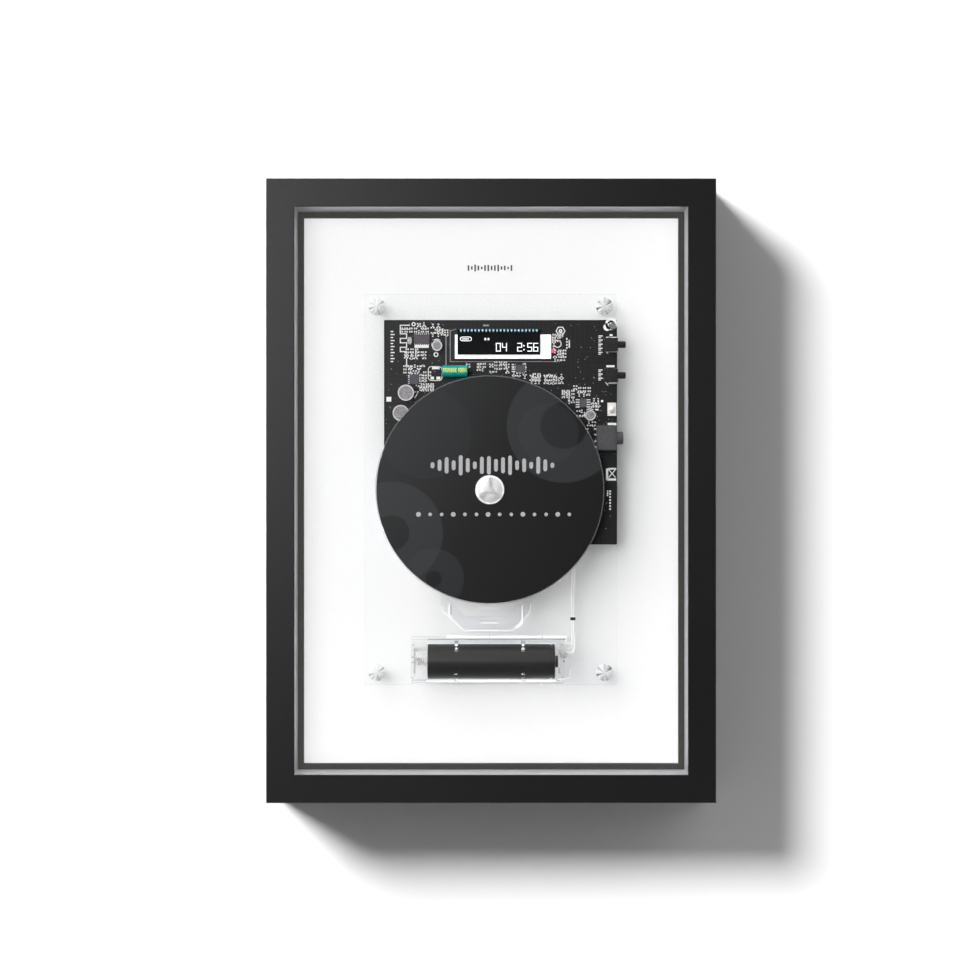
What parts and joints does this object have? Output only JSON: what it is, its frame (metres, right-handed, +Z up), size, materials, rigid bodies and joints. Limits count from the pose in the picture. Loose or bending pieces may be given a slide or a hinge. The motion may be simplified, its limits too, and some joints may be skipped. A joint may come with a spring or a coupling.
{
  "type": "wall-mounted disc player",
  "caption": "Deep black picture-frame wall disc player: disc on a bare mechanism, angle-shaped circuit board with display and buttons, clear plate, cylindrical cell.",
  "frame": {"origin": "middle of the frame's back, on the wall plane", "axes": "+X right and +Z up as seen from the front, the front faces -Y, +Y points into the wall"},
  "size_m": [0.2336, 0.045, 0.324],
  "materials": {
    "frame_paint": "satin",
    "liner_metal": "satin",
    "ledge_card": "matte",
    "panel_white": "matte",
    "fibreboard": "matte",
    "bright_steel": "brushed",
    "clear_plastic": "polished",
    "board_black": "satin",
    "spacer_nylon": "matte",
    "backlight_white": "satin",
    "display_black": "polished",
    "tinned_pins": "polished",
    "switch_black": "matte",
    "socket_grey": "matte",
    "chip_epoxy": "matte",
    "part_tin": "satin",
    "axial_teal": "gloss",
    "receiver_white": "gloss",
    "lamp_red": "gloss",
    "disc_label": "satin",
    "hub_white": "gloss",
    "dark_rubber": "matte",
    "sled_black": "matte",
    "lens_glass": "polished",
    "gear_acetal": "satin",
    "cell_wrap": "satin",
    "lead_white": "matte",
    "sleeve_dark": "matte"
  },
  "bodies": {
    "frame_assembly": {"axial_capacitor": "axial_teal", "backing_board": "fibreboard", "backing_straps": "bright_steel", "board_spacers": "spacer_nylon", "can_capacitors": "part_tin", "cell": "cell_wrap", "cell_holder": "clear_plastic", "cell_lead": "lead_white", "circuit_board": "board_black", "clear_plate": "clear_plastic", "contact_spring": "tinned_pins", "control_chips": "chip_epoxy", "crystal": "part_tin", "damper_screws": "bright_steel", "display_backlight": "backlight_white", "display_glass": "display_black", "display_panel": "panel_white", "display_pins": "tinned_pins", "frame_rail_bottom": "frame_paint", "frame_rail_left": "frame_paint", "frame_rail_right": "frame_paint", "frame_rail_top": "frame_paint", "frame_screws": "bright_steel", "gear_pin": "bright_steel", "guide_rods": "bright_steel", "headphone_socket": "socket_grey", "holder_screws": "bright_steel", "indicator_lamp": "lamp_red", "infrared_receiver": "receiver_white", "keyhole_plate_left": "bright_steel", "keyhole_plate_right": "bright_steel", "lead_sleeve": "sleeve_dark", "leaf_contact": "tinned_pins", "mechanism_chassis": "bright_steel", "mechanism_cradle": "clear_plastic", "pair_switch_body": "switch_black", "plate_screws": "bright_steel", "power_switch_body": "switch_black", "rubber_dampers": "dark_rubber", "sight_liner": "liner_metal", "sled_motor": "bright_steel", "small_parts": "part_tin", "spacer_ledge": "ledge_card", "spindle_motor": "bright_steel", "spring_contact": "tinned_pins", "standoff_caps": "clear_plastic", "standoff_posts": "clear_plastic", "standoff_screws": "bright_steel"},
    "turntable": {"turntable": "hub_white", "turntable_pad": "dark_rubber", "spindle": "bright_steel"},
    "disc": {"disc": "disc_label"},
    "power_button": {"power_button": "switch_black"},
    "pair_button": {"pair_button": "switch_black"},
    "sled": {"pickup_sled": "sled_black", "sled_rack": "gear_acetal"},
    "lens": {"pickup_lens": "lens_glass"},
    "double_gear": {"double_gear": "gear_acetal"},
    "pinion": {"sled_pinion": "gear_acetal", "sled_motor_shaft": "bright_steel"}
  },
  "joints": [
    {"name": "turntable_spin", "type": "hinge", "parent": "frame_assembly", "child": "turntable", "pos_m": [-0.0007, -0.03, 0.0005], "axis": [0, -1, 0], "continuous": true},
    {"name": "disc_lift", "type": "slide", "parent": "turntable", "child": "disc", "axis": [0, -1, 0], "range_m": [0, 0.06]},
    {"name": "power_press", "type": "slide", "parent": "frame_assembly", "child": "power_button", "axis": [-1, 0, 0], "range_m": [0, 0.0003], "stiffness_N_per_m": 1500, "springref_m": -0.0003},
    {"name": "pair_press", "type": "slide", "parent": "frame_assembly", "child": "pair_button", "axis": [-1, 0, 0], "range_m": [0, 0.0003], "stiffness_N_per_m": 1500, "springref_m": -0.0003},
    {"name": "sled_slide", "type": "slide", "parent": "frame_assembly", "child": "sled", "axis": [0, 0, -1], "range_m": [0, 0.0335]},
    {"name": "gear_turn", "type": "hinge", "parent": "frame_assembly", "child": "double_gear", "pos_m": [0.019, -0.028, -0.03], "axis": [0, -1, 0], "range_deg": [-5, 645]},
    {"name": "pinion_turn", "type": "hinge", "parent": "frame_assembly", "child": "pinion", "pos_m": [0.0248, -0.028, -0.04051], "axis": [0, -1, 0], "range_deg": [-1925, 5]},
    {"name": "lens_focus", "type": "slide", "parent": "sled", "child": "lens", "axis": [0, -1, 0], "range_m": [-0.0004, 0.0004], "stiffness_N_per_m": 60}
  ],
  "couplings": [
    {"joint": "gear_turn", "follows": "sled_slide", "rad_per_m": 333.33},
    {"joint": "pinion_turn", "follows": "sled_slide", "rad_per_m": -1000}
  ]
}
